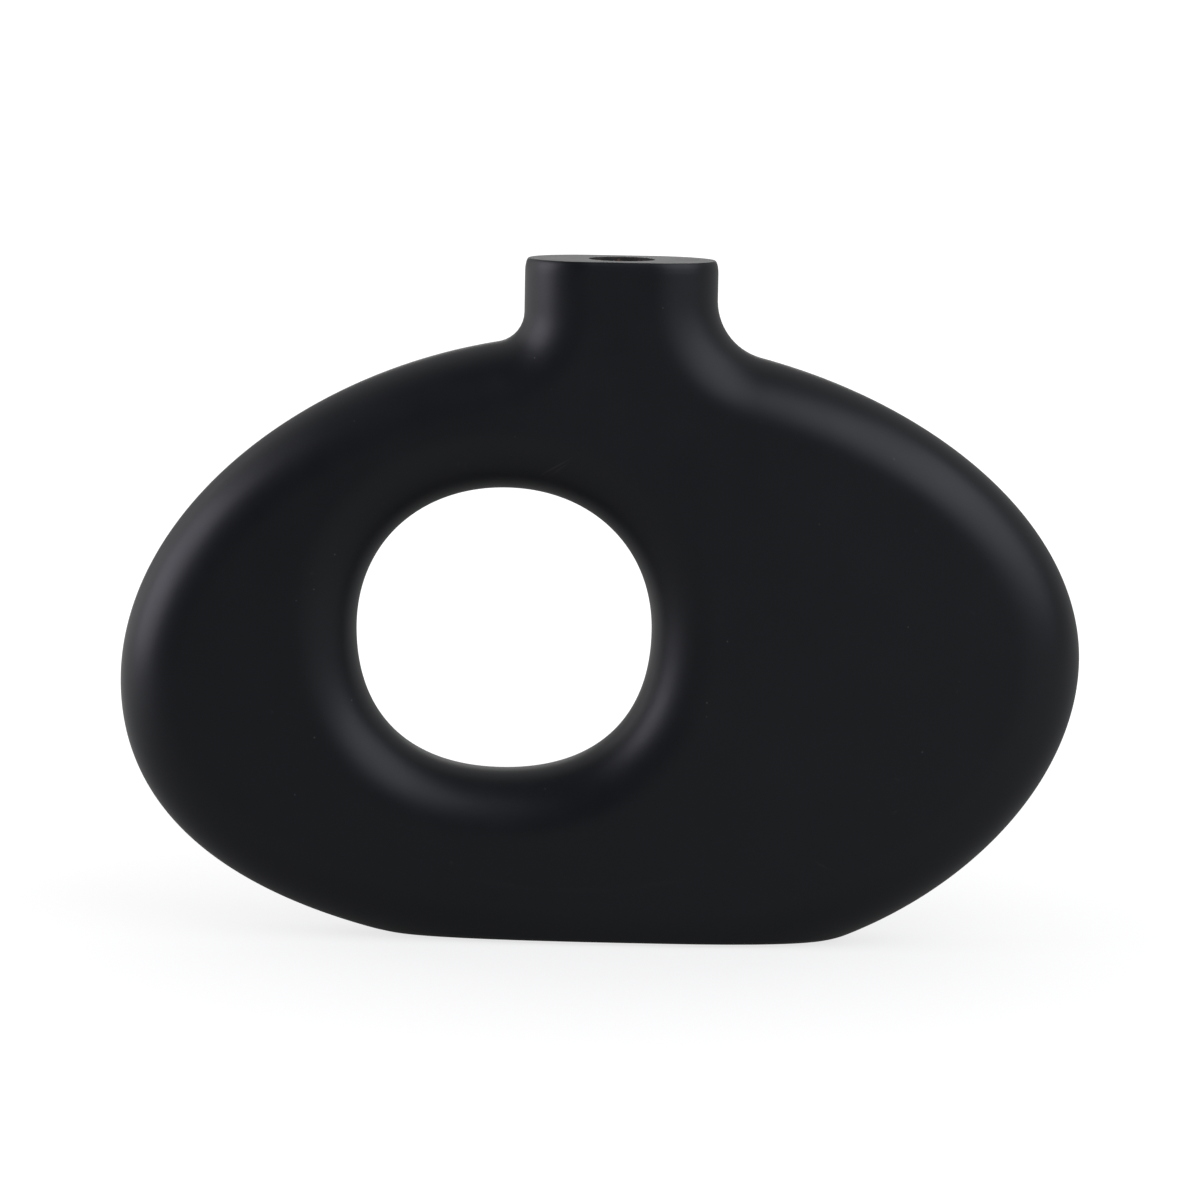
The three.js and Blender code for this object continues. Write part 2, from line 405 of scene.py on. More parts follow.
@dataclass(frozen=True)
class BlackLacquer(Finish):
    """Matt black sprayed lacquer, with a faint texture, a little dust and lint and light scratches."""

    name = "matt_black_lacquer"
    colour: Colour = (0.0029, 0.0036, 0.0053)
    cloud_colour: Colour = (0.0036, 0.0044, 0.0063)
    dust_colour: Colour = (0.035, 0.035, 0.036)
    roughness: Span = (0.39, 0.45)
    specular_level: float = 0.4
    cloud_scale: float = 30.0
    cloud_contrast: float = 1.6
    cloud_span: Span = (0.2, 0.8)
    peel_scale: float = 1100.0
    peel_detail: float = 2.0
    peel_depth: float = 1.6 * MICRON
    fibre_scale: float = 420.0
    fibre_waviness: float = 0.2
    fibre_depth: float = 1.2 * MICRON
    dust_scale: float = 180.0
    dust_size: float = 0.06
    dust_share: float = 0.14
    lint_scale: float = 85.0
    lint_size: float = 0.07
    lint_share: float = 0.4
    lint_strength: float = 0.10
    front: float = -18.0 * MM
    scratches: tuple[Hairline, ...] = (
        Hairline(-15.2 * MM, 150.2 * MM, 15.0 * MM, 32.0, 0.48),
        Hairline(-13.9 * MM, 149.5 * MM, 10.0 * MM, 38.0, 0.36),
        Hairline(-44.8 * MM, 150.8 * MM, 3.0 * MM, 84.0, 0.20),
        Hairline(-42.6 * MM, 150.5 * MM, 3.4 * MM, 88.0, 0.20),
        Hairline(-36.0 * MM, 150.2 * MM, 2.6 * MM, 72.0, 0.16),
        Hairline(70.3 * MM, 27.5 * MM, 9.6 * MM, -28.0, 0.18),
        Hairline(92.6 * MM, 44.8 * MM, 3.6 * MM, 35.0, 0.22),
        Hairline(93.0 * MM, 55.2 * MM, 3.0 * MM, -25.0, 0.18),
        Hairline(110.9 * MM, 82.9 * MM, 2.4 * MM, 86.0, 0.18),
        Hairline(115.1 * MM, 107.7 * MM, 3.4 * MM, -35.0, 0.14),
    )
    sanding: tuple[Hairline, ...] = (
        Hairline(-28.0 * MM, 19.6 * MM, 26.0 * MM, -8.0, 0.05, 2.4 * MM),
        Hairline(-4.9 * MM, 18.4 * MM, 28.0 * MM, 0.0, 0.05, 2.0 * MM),
        Hairline(18.5 * MM, 20.6 * MM, 26.0 * MM, 9.0, 0.05, 2.4 * MM),
    )

    def dress(self, sheet: MaterialSheet) -> None:
        """Join clouds, dust, lint, scratches and texture to the shader.

        Args:
            sheet: The material's nodes.
        """
        clouds = sheet.effect(CloudyMottle(), Scale=self.cloud_scale, Contrast=self.cloud_contrast)
        paint = sheet.blend(clouds, self.colour, self.cloud_colour)
        sheet.join(
            sheet.shader,
            Base_Color=sheet.blend(self.marks(sheet), paint, self.dust_colour),
            Roughness=sheet.remap(clouds, self.cloud_span, self.roughness),
            Specular_IOR_Level=self.specular_level,
            Normal=self.texture(sheet),
        )

    def marks(self, sheet: MaterialSheet) -> Socket:
        """Scatter dust and lint, and draw the scratches and sanding marks.

        Args:
            sheet: The material's nodes.

        Returns:
            A mask of all the marks.
        """
        dust = sheet.effect(Specks(), Scale=self.dust_scale, Size=self.dust_size, Share=self.dust_share)
        lint = sheet.effect(Specks(), Scale=self.lint_scale, Size=self.lint_size, Share=self.lint_share)
        marks = sheet.maths("MAXIMUM", dust, sheet.maths("MULTIPLY", lint, self.lint_strength))
        for mark in self.scratches + self.sanding:
            marks = sheet.maths("MAXIMUM", marks, mark.draw(sheet, self.front))
        return marks

    def texture(self, sheet: MaterialSheet) -> Socket:
        """Make the sprayed skin over faint fibres.

        Args:
            sheet: The material's nodes.

        Returns:
            The normal.
        """
        peel = sheet.add("TexNoise", Vector=sheet.place, Scale=self.peel_scale, Detail=self.peel_detail)
        fibres = sheet.effect(WoodFibres(), Scale=self.fibre_scale, Waviness=self.fibre_waviness)
        under = sheet.maths("MULTIPLY", fibres, self.fibre_depth / self.peel_depth)
        return sheet.relief(sheet.maths("ADD", peel.outputs[0], under), self.peel_depth)


@dataclass(frozen=True)
class BareWood(Finish):
    """Unfinished wood: the glue faces and the dowel holes, or the oversprayed bore when darkened."""

    name: str = "bare_wood"
    colour: Colour = (0.36, 0.22, 0.12)
    late_colour: Colour = (0.21, 0.115, 0.055)
    spot_colour: Colour = (0.30, 0.18, 0.09)
    spot_scale: float = 700.0
    spot_size: float = 0.5
    spot_share: float = 0.2
    roughness: Span = (0.72, 0.88)
    fibre_scale: float = 260.0
    fibre_waviness: float = 0.6
    fibre_span: Span = (0.3, 0.7)
    fibre_depth: float = 40.0 * MICRON
    turn: Triple = (0.0, 0.0, 0.0)

    def dress(self, sheet: MaterialSheet) -> None:
        """Join fibres and spots to the shader.

        Args:
            sheet: The material's nodes.
        """
        laid = sheet.add("Mapping", Vector=sheet.place, Rotation=self.turn).outputs[0]
        fibres = sheet.effect(
            WoodFibres(), Vector=laid, Scale=self.fibre_scale, Waviness=self.fibre_waviness
        )
        spots = sheet.effect(
            Specks(), Vector=laid, Scale=self.spot_scale, Size=self.spot_size, Share=self.spot_share
        )
        bands = sheet.remap(fibres, self.fibre_span, (0.0, 1.0))
        wood = sheet.blend(bands, self.colour, self.late_colour)
        sheet.join(
            sheet.shader,
            Base_Color=sheet.blend(spots, wood, self.spot_colour),
            Roughness=sheet.remap(fibres, self.fibre_span, self.roughness),
            Normal=sheet.relief(fibres, self.fibre_depth),
        )


@dataclass(frozen=True)
class ClearGlass(Finish):
    """Drawn laboratory glass, faintly green, with slow waves along its length."""

    name = "clear_drawn_glass"
    colour: Colour = (0.93, 0.97, 0.96)
    tint_share: float = 0.97
    tint_scale: float = 80.0
    tint_contrast: float = 0.5
    roughness: float = 0.02
    refraction: float = 1.5
    wave_scale: Triple = (160.0, 160.0, 25.0)
    wave_detail: float = 1.0
    wave_depth: float = 6.0 * MICRON

    def dress(self, sheet: MaterialSheet) -> None:
        """Set the glass and its waves.

        Args:
            sheet: The material's nodes.
        """
        drawn = sheet.add("Mapping", Vector=sheet.place, Scale=self.wave_scale).outputs[0]
        waves = sheet.add("TexNoise", Vector=drawn, Scale=1.0, Detail=self.wave_detail).outputs[0]
        tint = sheet.effect(CloudyMottle(), Scale=self.tint_scale, Contrast=self.tint_contrast)
        tinted = tuple(self.tint_share * part for part in self.colour)
        sheet.join(
            sheet.shader,
            Base_Color=sheet.blend(tint, self.colour, tinted),
            Roughness=self.roughness,
            IOR=self.refraction,
            Transmission_Weight=1.0,
            Normal=sheet.relief(waves, self.wave_depth),
        )


@dataclass(frozen=True)
class BlackFelt(Finish):
    """Pressed black wool felt with a fuzzy nap and a little lint."""

    name = "black_wool_felt"
    colour: Colour = (0.010, 0.010, 0.011)
    nap_colour: Colour = (0.030, 0.030, 0.032)
    lint_colour: Colour = (0.11, 0.11, 0.12)
    roughness: float = 0.95
    sheen: float = 0.3
    nap_scale: float = 4200.0
    nap_contrast: float = 2.0
    nap_depth: float = 60.0 * MICRON
    lint_scale: float = 1500.0
    lint_size: float = 0.3
    lint_share: float = 0.06

    def dress(self, sheet: MaterialSheet) -> None:
        """Join nap and lint to the shader.

        Args:
            sheet: The material's nodes.
        """
        nap = sheet.effect(CloudyMottle(), Scale=self.nap_scale, Contrast=self.nap_contrast)
        lint = sheet.effect(Specks(), Scale=self.lint_scale, Size=self.lint_size, Share=self.lint_share)
        wool = sheet.blend(nap, self.colour, self.nap_colour)
        sheet.join(
            sheet.shader,
            Base_Color=sheet.blend(lint, wool, self.lint_colour),
            Roughness=self.roughness,
            Sheen_Weight=self.sheen,
            Normal=sheet.relief(nap, self.nap_depth),
        )


@dataclass(frozen=True)
class WhitePaper(Finish):
    """The floor's paper: a lit grey, with a white glow for the eye and less of it in the gloss.

    In front of the vase the gloss shows more of the glow to the right and none far off. Behind the vase
    it shows it on the left. This glow in the gloss is a painted reflection for the vase, from no lamp.
    """

    name = "white_paper"
    grey: float = 0.17
    painted_shadow_glow: float = 0.75
    shadow_reach: Span = (0.06, 0.5)
    front_painted_reflection: Span = (0.0, 0.31)
    front_across: Span = (-0.6, 0.6)
    front_along: Span = (-1.4, -0.2)
    rear_painted_reflection: float = 0.6
    rear_across: Span = (-0.30, -0.05)
    rear_along: Span = (-0.15, 0.05)

    def dress(self, sheet: MaterialSheet) -> None:
        """Add the glow to the lit grey, a little weaker under the vase: a painted shadow round the vase,
        where its real shadow falls too.

        Args:
            sheet: The material's nodes.
        """
        away = sheet.add("VectorMath", {"operation": "LENGTH"}, Vector=sheet.place).outputs["Value"]
        # The glow dims towards the vase by distance alone: a painted shadow on the floor.
        clear = sheet.remap(away, self.shadow_reach, (self.painted_shadow_glow, 1.0))
        seen = sheet.white_to_view(self.gloss_share(sheet))
        lit = sheet.add("BsdfDiffuse", Color=(self.grey,) * 3)
        glow = sheet.add("Emission", Strength=sheet.maths("MULTIPLY", clear, seen))
        both = sheet.add("AddShader", None, lit.outputs[0], glow.outputs[0])
        sheet.tree.nodes.remove(sheet.shader)
        sheet.join(sheet.tree.nodes["Material Output"], Surface=both.outputs[0])

    def gloss_share(self, sheet: MaterialSheet) -> Socket:
        """Find how much of the glow the gloss shows, as painted reflections on the vase.

        Args:
            sheet: The material's nodes.

        Returns:
            The share.
        """
        way = sheet.add("SeparateXYZ", Vector=sheet.place).outputs
        # Painted reflections: patches of floor glow that only glossy rays see.
        near = sheet.remap(way["Y"], self.front_along, (0.0, 1.0))
        front = sheet.maths("MULTIPLY", sheet.remap(way["X"], self.front_across, self.front_painted_reflection), near)
        behind = sheet.remap(way["Y"], self.rear_along, (0.0, 1.0))
        left = sheet.remap(way["X"], self.rear_across, (self.rear_painted_reflection, 0.0))
        return sheet.maths("MAXIMUM", front, sheet.maths("MULTIPLY", left, behind))


LACQUER = BlackLacquer()
BARE_WOOD = BareWood()
BORE_WOOD = BareWood(
    name="oversprayed_bore_wood",
    colour=(0.020, 0.018, 0.017),
    late_colour=(0.010, 0.009, 0.0085),
    spot_colour=(0.075, 0.035, 0.024),
    turn=(0.0, math.radians(90.0), 0.0),
)
BEECH = BareWood(
    name="beech_dowel_wood",
    colour=(0.60, 0.40, 0.23),
    late_colour=(0.47, 0.28, 0.145),
    spot_colour=(0.38, 0.21, 0.10),
    spot_share=0.12,
    roughness=(0.60, 0.76),
    fibre_scale=900.0,
    fibre_depth=15.0 * MICRON,
    turn=(0.0, 0.0, math.radians(90.0)),
)
GLASS = ClearGlass()
FELT = BlackFelt()
PAPER = WhitePaper()


def made_object(name: str, mesh: Mesh, *finishes: Finish) -> bpy.types.Object:
    """Turn a finished bmesh into an object at the origin.

    Args:
        name: The piece's name.
        mesh: The shape, which is freed.
        finishes: The finishes in the order of its faces' material numbers.

    Returns:
        The new object.
    """
    data = bpy.data.meshes.new(name)
    mesh.to_mesh(data)
    mesh.free()
    for finish in finishes:
        data.materials.append(finish.material())
    piece = bpy.data.objects.new(name, data)
    bpy.context.scene.collection.objects.link(piece)
    return piece


def hand_over(piece: bpy.types.Object, crease: float, body: Body, node: str) -> None:
    """Shade a piece evenly, and tie it to its body and to the solid that it stands for.

    Args:
        piece: The piece.
        crease: The angle from which an edge stays sharp.
        body: The body that carries it.
        node: The solid that it replaces.
    """
    piece.data.shade_smooth()
    piece.data.set_sharp_from_angle(angle=crease)
    even = piece.modifiers.new("even_normals", "WEIGHTED_NORMAL")
    even.keep_sharp = True
    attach(piece, body.value)
    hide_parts(node)
    log.info("%s: %d faces", piece.name, len(piece.data.polygons))


def turned(mesh: Mesh, profile: list[Vector], axis_x: float, steps: int) -> None:
    """Turn a profile about an upright axis, as on a lathe.

    Args:
        mesh: Where the shape goes.
        profile: Points as radius and height, from the axis round to the axis again.
        axis_x: Where the axis stands along X.
        steps: Facets around the axis.
    """
    first, *others = profile
    line = [mesh.verts.new((first.x, 0.0, first.y))]
    for point in others:
        grown = bmesh.ops.extrude_vert_indiv(mesh, verts=line[-1:])["verts"][0]
        grown.co = (point.x, 0.0, point.y)
        line.append(grown)
    edges = [edge for edge in mesh.edges if edge.is_wire]
    # Half a facet's turn keeps the corners off the glue line.
    bmesh.ops.rotate(mesh, verts=line, matrix=Matrix.Rotation(math.pi / steps, 3, "Z"))
    bmesh.ops.spin(
        mesh, geom=line + edges, axis=(0.0, 0.0, 1.0), angle=math.tau, steps=steps, use_merge=True
    )
    bmesh.ops.remove_doubles(mesh, verts=mesh.verts, dist=MERGE_DISTANCE)
    bmesh.ops.recalc_face_normals(mesh, faces=mesh.faces)
    bmesh.ops.translate(mesh, verts=mesh.verts, vec=(axis_x, 0.0, 0.0))


def arc(centre: Vector, radius: float, start: float, end: float, steps: int) -> list[Vector]:
    """Points along an arc in the front view.

    Args:
        centre: Its middle.
        radius: Its radius.
        start: Angle of the first point, from +X towards +Z.
        end: Angle of the last point.
        steps: Steps between them.

    Returns:
        The points, both ends included.
    """
    angles = [start + (end - start) * step / steps for step in range(steps + 1)]
    return [centre + radius * Vector((math.cos(angle), math.sin(angle))) for angle in angles]


def place_where(measure: Callable[[float], float], halvings: int = 40) -> float:
    """Find by halving where a rising measure of a curve reaches zero.

    Args:
        measure: The measure at a place from 0 to 1.
        halvings: How often the stretch with the place in it is halved.

    Returns:
        The place.
    """
    low, high = 0.0, 1.0
    for _ in range(halvings):
        middle = (low + high) / 2
        if measure(middle) < 0:
            low = middle
        else:
            high = middle
    return (low + high) / 2


@dataclass(frozen=True)
class Quarter:
    """A quarter of an outline, a curve from where it is widest to its top or bottom.

    A fullness of 0.55 is an ellipse, and more is squarer.
    """

    side: Vector
    peak: Vector
    fullness: float

    def follow(self, place: float) -> tuple[Vector, Vector]:
        """Follow the curve to a place.

        Args:
            place: From 0, at the side, to 1, at the peak.

        Returns:
            The point there, and the direction of travel, one long.
        """
        a = self.side
        b = Vector((a.x, a.y + self.fullness * (self.peak.y - a.y)))
        c = Vector((self.peak.x + self.fullness * (a.x - self.peak.x), self.peak.y))
        d = self.peak
        back = 1.0 - place
        point = back**3 * a + 3 * back**2 * place * b + 3 * back * place**2 * c + place**3 * d
        heading = back**2 * (b - a) + 2 * back * place * (c - b) + place**2 * (d - c)
        return point, heading.normalized()

    def above(self, place: float, distance: float) -> Vector:
        """Go straight out from an upper quarter.

        Args:
            place: The place to start from.
            distance: How far to go.

        Returns:
            The point that is reached.
        """
        point, heading = self.follow(place)
        outward = Vector((math.copysign(heading.y, self.side.x - self.peak.x), abs(heading.x)))
        return point + distance * outward

    def points(self, start: float, end: float, steps: int = 200) -> list[Vector]:
        """Step from one place to another, both included."""
        return [self.follow(start + (end - start) * step / steps)[0] for step in range(steps + 1)]


class Contour:
    """A closed outline as evenly spaced points, with the way into the wood at each."""

    def __init__(self, trace: list[Vector], count: int) -> None:
        """Space the points evenly along a trace that keeps the wood on its right.

        Args:
            trace: Closely spaced points round the outline.
            count: How many points to keep.
        """
        stretches = list(zip(trace, trace[1:] + trace[:1]))
        step = sum((end - start).length for start, end in stretches) / count
        self.points: list[Vector] = []
        walked = 0.0
        for start, end in stretches:
            length = (end - start).length
            while len(self.points) < count and len(self.points) * step < walked + length:
                share = (len(self.points) * step - walked) / length
                self.points.append(start.lerp(end, share))
            walked += length
        ahead = self.points[1:] + self.points[:1]
        behind = self.points[-1:] + self.points[:-1]
        self.inward = [Vector(((b - a).y, -(b - a).x)).normalized() for a, b in zip(behind, ahead)]


class RingSweep:
    """A ring on a contour that is pulled, ring by ring, into a rounded band.

    Each point keeps its number along the contour in the mesh's station layer.
    """

    layer = "station"

    def __init__(self, mesh: Mesh, contour: Contour, board: Board) -> None:
        """Lay the first ring on the glue line.

        Args:
            mesh: Where the band goes, with the station layer.
            contour: The outline that it follows.
            board: The board that it belongs to.
        """
        self.mesh = mesh
        self.contour = contour
        self.board = board
        self.station = mesh.verts.layers.int[self.layer]
        ring = bmesh.ops.create_circle(mesh, segments=len(contour.points), radius=1.0)["verts"]
        for number, vert in enumerate(ring):
            vert[self.station] = number
        self.lay(ring, 0.0, 0.0)

    def lay(self, ring: list[bmesh.types.BMVert], inset: float, depth: float) -> None:
        """Move a ring to its place, and keep the edges between its own points.

        Args:
            ring: Its points.
            inset: How far into the wood, seen from the front.
            depth: How far from the glue line.
        """
        for vert in ring:
            number = vert[self.station]
            spot = self.contour.points[number] + inset * self.contour.inward[number]
            vert.co = (spot.x, self.board.value * depth, spot.y)
        own = set(ring)
        touching = dict.fromkeys(edge for vert in ring for edge in vert.link_edges)
        self.edges = [edge for edge in touching if own.issuperset(edge.verts)]

    def pull(self, inset: float, depth: float) -> None:
        """Pull the next ring out of the last one.

        Args:
            inset: How far into the wood, seen from the front.
            depth: How far from the glue line.
        """
        made = bmesh.ops.extrude_edge_only(self.mesh, edges=self.edges)["geom"]
        self.lay([item for item in made if isinstance(item, bmesh.types.BMVert)], inset, depth)


@dataclass(frozen=True)
class Easing:
    """How the edge of a level cut is eased: how far down, along the width and through the thickness."""

    height: float
    along: float
    through: float

    def inset(self, rise: float) -> float:
        """The share of its depth at a height above its start, as a quarter of an ellipse."""
        return 1.0 - math.sqrt(max(1.0 - (rise / self.height) ** 2, 0.0))


@dataclass
class Dowels:
    """The four fluted beech dowels that line the boards up, and the shapes of their holes."""

    chamfer: float = 1.0 * MM
    flute_depth: float = 0.3 * MM
    flutes: int = 18
    facets_per_flute: int = 4
    hole_sides: int = 48
    crease: float = math.radians(50.0)

    def shape(self, mesh: Mesh, place: DowelPlace, room: float, fluted: bool) -> None:
        """Add a chamfered dowel along Y, or the shape of its hole.

        Args:
            mesh: Where the shape goes.
            place: Which dowel.
            room: How much larger than the dowel the shape is all round.
            fluted: Whether it has glue grooves.
        """
        low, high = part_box(place.value)
        length = high.y - low.y + 2 * room
        radius = (high.z - low.z) / 2 + room
        end_radius = radius - self.chamfer
        sides = self.flutes * self.facets_per_flute if fluted else self.hole_sides
        verts = bmesh.ops.create_circle(mesh, segments=sides, radius=end_radius, cap_ends=True)["verts"]
        face = verts[0].link_faces[0]
        if fluted:
            for vert in verts[::self.facets_per_flute]:
                vert.co -= self.flute_depth * vert.co.normalized()
        sections = (
            (self.chamfer, radius / end_radius),
            (length - 2 * self.chamfer, 1.0),
            (self.chamfer, end_radius / radius),
        )
        for number, (rise, growth) in enumerate(sections):
            made = bmesh.ops.extrude_face_region(mesh, geom=[face])["geom"]
            if number:
                bmesh.ops.delete(mesh, geom=[face], context="FACES_ONLY")
            face = next(item for item in made if isinstance(item, bmesh.types.BMFace))
            lifted = list(face.verts)
            bmesh.ops.translate(mesh, verts=lifted, vec=(0.0, 0.0, rise))
            bmesh.ops.scale(mesh, verts=lifted, vec=(growth, growth, 1.0))
            verts += lifted
        bmesh.ops.translate(mesh, verts=verts, vec=(0.0, 0.0, -length / 2))
        bmesh.ops.rotate(mesh, verts=verts, matrix=Matrix.Rotation(math.pi / 2, 3, "X"))
        bmesh.ops.translate(mesh, verts=verts, vec=(low + high) / 2)
        bmesh.ops.recalc_face_normals(mesh, faces=mesh.faces)

    def build_all(self) -> None:
        """Make every dowel."""
        for place in DowelPlace:
            mesh = bmesh.new()
            self.shape(mesh, place, 0.0, fluted=True)
            piece = made_object(f"fluted_{place.value}", mesh, BEECH)
            hand_over(piece, self.crease, Body.VASE, place.value)


@dataclass
class WoodenBody:
    """The body: two boards glued face to face, rounded, pierced and bored.

    Heights are above the flat base. Fullness values belong to the outline's quarters.
    """

    left_web: float = 73.7 * MM
    opening_width: float = 92.3 * MM
    bottom_web: float = 52.5 * MM
    opening_height: float = 88.7 * MM
    top_web: float = 48.2 * MM
    left_limb_height: float = 79.0 * MM
    right_limb_height: float = 89.5 * MM
    crown_shift: float = -3.2 * MM
    keel_shift: float = 27.4 * MM
    keel_drop: float = 9.2 * MM
    upper_left_fullness: float = 0.524
    upper_right_fullness: float = 0.53
    lower_left_fullness: float = 0.648
    lower_right_fullness: float = 0.513
    upper_opening_fullness: float = 0.585
    lower_opening_fullness: float = 0.635
    neck_width: float = 60.0 * MM
    neck_shift: float = 4.6 * MM
    left_fillet: float = 9.5 * MM
    right_fillet: float = 18.5 * MM
    edge_rounding: float = 20.0 * MM
    opening_rounding: float = 20.0 * MM
    seam_land: float = 0.5 * MM
    face_margin: float = 1.2 * MM
    rim_ease: Easing = Easing(4.2 * MM, 1.2 * MM, 0.7 * MM)
    base_ease: Easing = Easing(1.6 * MM, 7.0 * MM, 1.0 * MM)
    bore_diameter: float = 20.0 * MM
    bore_floor: float = 12.0 * MM
    bore_mouth: float = 0.3 * MM
    dowel_room: float = 0.3 * MM
    overrun: float = 6.0 * MM
    cut_touch: float = 0.01 * MM
    crease: float = math.radians(38.0)
    edge_points: int = 560
    opening_points: int = 240
    fillet_steps: int = 60
    neck_end_steps: int = 120
    rounding_steps: int = 18
    ease_steps: int = 8
    bore_end_steps: int = 16
    bore_steps: int = 96

    def __post_init__(self) -> None:
        """Take the overall sizes from the solids."""
        low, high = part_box(Board.FRONT.node)
        self.half_width = high.x
        self.half = -low.y
        self.base = low.z
        self.top = high.z
        self.opening_middle = Vector((
            self.left_web + self.opening_width / 2 - self.half_width,
            self.base + self.bottom_web + self.opening_height / 2,
        ))
        self.opening_top = self.base + self.bottom_web + self.opening_height

    def fillet(self, shoulder: Quarter, side: int, radius: float) -> tuple[float, list[Vector]]:
        """Find the hollow between a shoulder and the neck's side.

        Args:
            shoulder: The quarter that it leaves.
            side: -1 on the left of the neck, 1 on its right.
            radius: Its radius.

        Returns:
            The place where it leaves the shoulder, and its points up to the neck.
        """
        middle = self.neck_shift + side * self.neck_width / 2 + side * radius
        place = place_where(lambda at: side * (middle - shoulder.above(at, radius).x))
        centre = shoulder.above(place, radius)
        foot = shoulder.follow(place)[0] - centre
        start = math.atan2(foot.y, foot.x)
        end = 0.0 if side < 0 else -math.pi
        return place, arc(centre, radius, start, end, self.fillet_steps)

    def body_contour(self) -> Contour:
        """Draw the outer outline, which runs past the neck's top and the base.

        Returns:
            The contour, clockwise from the left limb's end.
        """
        left_end = Vector((-self.half_width, self.base + self.left_limb_height))
        right_end = Vector((self.half_width, self.base + self.right_limb_height))
        crown = Vector((self.crown_shift, self.opening_top + self.top_web))
        keel = Vector((self.keel_shift, self.base - self.keel_drop))
        upper_left = Quarter(left_end, crown, self.upper_left_fullness)
        upper_right = Quarter(right_end, crown, self.upper_right_fullness)
        lower_left = Quarter(left_end, keel, self.lower_left_fullness)
        lower_right = Quarter(right_end, keel, self.lower_right_fullness)
        left_place, left_hollow = self.fillet(upper_left, -1, self.left_fillet)
        right_place, right_hollow = self.fillet(upper_right, 1, self.right_fillet)
        neck_end = Vector((self.neck_shift, self.top + self.overrun))
        trace = upper_left.points(0.0, left_place)[:-1]
        trace += left_hollow
        trace += arc(neck_end, self.neck_width / 2, math.pi, 0.0, self.neck_end_steps)
        trace += right_hollow[::-1]
        trace += upper_right.points(right_place, 0.0)[1:-1]
        trace += lower_right.points(0.0, 1.0)[:-1]
        trace += lower_left.points(1.0, 0.0)[:-1]
        return Contour(trace, self.edge_points)

    def opening_contour(self) -> Contour:
        """Draw the opening's outline.

        Returns:
            The contour, anticlockwise from its right end.
        """
        middle = self.opening_middle
        trace: list[Vector] = []
        for across, up in ((1, 1), (-1, 1), (-1, -1), (1, -1)):
            fullness = self.upper_opening_fullness if up > 0 else self.lower_opening_fullness
            side = middle + Vector((across * self.opening_width / 2, 0.0))
            peak = middle + Vector((0.0, up * self.opening_height / 2))
            ends = (0.0, 1.0) if across == up else (1.0, 0.0)
            trace += Quarter(side, peak, fullness).points(*ends)[:-1]
        return Contour(trace, self.opening_points)

    def rounded_over(
        self, mesh: Mesh, contour: Contour, board: Board, reach: float
    ) -> list[bmesh.types.BMEdge]:
        """Round an edge over from the glue line to the face, and run a little onto the face.

        Args:
            mesh: Where the rounding goes.
            contour: The edge's outline.
            board: The board that it belongs to.
            reach: How far the rounding goes in from the edge.

        Returns:
            The edges of the last ring, on the face.
        """
        sweep = RingSweep(mesh, contour, board)
        for step in range(self.rounding_steps + 1):
            angle = math.pi / 2 * step / self.rounding_steps
            depth = self.seam_land + (self.half - self.seam_land) * math.sin(angle)
            sweep.pull(reach * (1.0 - math.cos(angle)), depth)
        sweep.pull(reach + self.face_margin, self.half)
        return sweep.edges

    def slab(self, board: Board) -> Mesh:
        """Make a board with its rounded edges, its opening, its flat base and its neck's top.

        Args:
            board: Which of the two.

        Returns:
            The closed shape, with bare wood on its glue face.
        """
        mesh = bmesh.new()
        mesh.verts.layers.int.new(RingSweep.layer)
        face_edges = self.rounded_over(mesh, self.body_contour(), board, self.edge_rounding)
        face_edges += self.rounded_over(mesh, self.opening_contour(), board, self.opening_rounding)
        bmesh.ops.triangle_fill(mesh, edges=face_edges, use_beauty=True)
        mesh.verts.layers.int.remove(mesh.verts.layers.int[RingSweep.layer])
        bmesh.ops.recalc_face_normals(mesh, faces=mesh.faces)
        self.cut_off(mesh, self.base, -1, self.base_ease)
        self.cut_off(mesh, self.top, 1, self.rim_ease)
        seam = [edge for edge in mesh.edges if edge.is_boundary]
        for item in bmesh.ops.triangle_fill(mesh, edges=seam, use_beauty=True)["geom"]:
            if isinstance(item, bmesh.types.BMFace):
                item.material_index = 1
        bmesh.ops.recalc_face_normals(mesh, faces=mesh.faces)
        return mesh

    def cut_off(self, mesh: Mesh, height: float, way: int, ease: Easing) -> None:
        """Cut a board's skin off level, ease the cut's edge and close it with a flat.

        Args:
            mesh: The board.
            height: Where it is cut.
            way: 1 to remove what is above, -1 what is below.
            ease: How its edge is eased.
        """
        # The first cuts only add rings for the easing, and the last one takes the waste off.
        for step in range(self.ease_steps + 1):
            rise = ease.height * math.sin(math.pi / 2 * step / self.ease_steps)
            cut = bmesh.ops.bisect_plane(
                mesh, geom=mesh.verts[:] + mesh.edges[:] + mesh.faces[:], dist=self.cut_touch,
                plane_co=(0.0, 0.0, height - way * (ease.height - rise)), plane_no=(0.0, 0.0, way),
                clear_outer=step == self.ease_steps,
            )["geom_cut"]
        mesh.normal_update()
        moves: dict[bmesh.types.BMVert, Vector] = {}
        for vert in mesh.verts:
            rise = ease.height - way * (height - vert.co.z)
            if rise > 0.0:
                outward = Vector((ease.along * vert.normal.x, ease.through * vert.normal.y, 0.0))
                moves[vert] = -ease.inset(rise) * outward
        for vert, move in moves.items():
            vert.co += move
        rim = [item for item in cut if isinstance(item, bmesh.types.BMEdge)]
        bmesh.ops.contextual_create(mesh, geom=rim)

